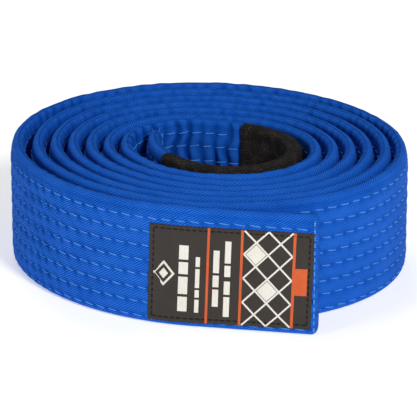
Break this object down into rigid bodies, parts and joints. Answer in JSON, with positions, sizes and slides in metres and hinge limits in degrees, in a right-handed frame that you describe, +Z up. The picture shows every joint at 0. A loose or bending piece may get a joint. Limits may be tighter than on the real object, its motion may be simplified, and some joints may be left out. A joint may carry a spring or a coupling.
{
  "type": "martial arts belt",
  "caption": "Quilted blue cotton martial arts belt rolled into a flat coil on its edge, with a black rank sleeve near the inner tip and a woven label on the free outer end.",
  "frame": {"origin": "centre of the coil's footprint on the floor, at the bottom of the bounding box", "axes": "+Z up, across the belt's width; +Y to the back, so the label on the free outer end faces -Y; +X to the right"},
  "size_m": [0.144, 0.1468, 0.044],
  "materials": {
    "blue_twill": "matte cotton twill",
    "blue_thread": "satin polyester thread",
    "cotton_core": "matte undyed cotton",
    "black_cotton": "matte cotton canvas",
    "black_thread": "satin thread",
    "woven_label": "woven damask satin"
  },
  "bodies": {
    "coil": {"bobbin_thread_row_1": "blue_thread", "bobbin_thread_row_2": "blue_thread", "bobbin_thread_row_3": "blue_thread", "bobbin_thread_row_4": "blue_thread", "bobbin_thread_row_5": "blue_thread", "bobbin_thread_row_6": "blue_thread", "bobbin_thread_row_7": "blue_thread", "bobbin_thread_row_8": "blue_thread", "coil_core_inner_ply": "cotton_core", "coil_core_middle_ply": "cotton_core", "coil_core_outer_ply": "cotton_core", "coil_shell": "blue_twill", "needle_thread_row_1": "blue_thread", "needle_thread_row_2": "blue_thread", "needle_thread_row_3": "blue_thread", "needle_thread_row_4": "blue_thread", "needle_thread_row_5": "blue_thread", "needle_thread_row_6": "blue_thread", "needle_thread_row_7": "blue_thread", "needle_thread_row_8": "blue_thread", "rank_sleeve": "black_cotton", "rank_sleeve_threads": "black_thread"},
    "label_end": {"label_end_bobbin_threads": "blue_thread", "label_end_core_inner_ply": "cotton_core", "label_end_core_middle_ply": "cotton_core", "label_end_core_outer_ply": "cotton_core", "label_end_end_seam_thread": "blue_thread", "label_end_needle_threads": "blue_thread", "label_end_shell": "blue_twill", "woven_label": "woven_label", "woven_label_stitching": "black_thread"},
    "tip": {"tip_bobbin_threads": "blue_thread", "tip_core_inner_ply": "cotton_core", "tip_core_middle_ply": "cotton_core", "tip_core_outer_ply": "cotton_core", "tip_end_seam_thread": "blue_thread", "tip_needle_threads": "blue_thread", "tip_shell": "blue_twill"}
  },
  "joints": [
    {"name": "label_end_fold", "type": "hinge", "parent": "coil", "child": "label_end", "pos_m": [-0.02379, -0.0599, 0.022], "axis": [0, 0, -1], "range_deg": [0, 30]},
    {"name": "tip_fold", "type": "hinge", "parent": "coil", "child": "tip", "pos_m": [-0.01295, -0.00718, 0.022], "axis": [0, 0, -1], "range_deg": [-1, 35]}
  ]
}
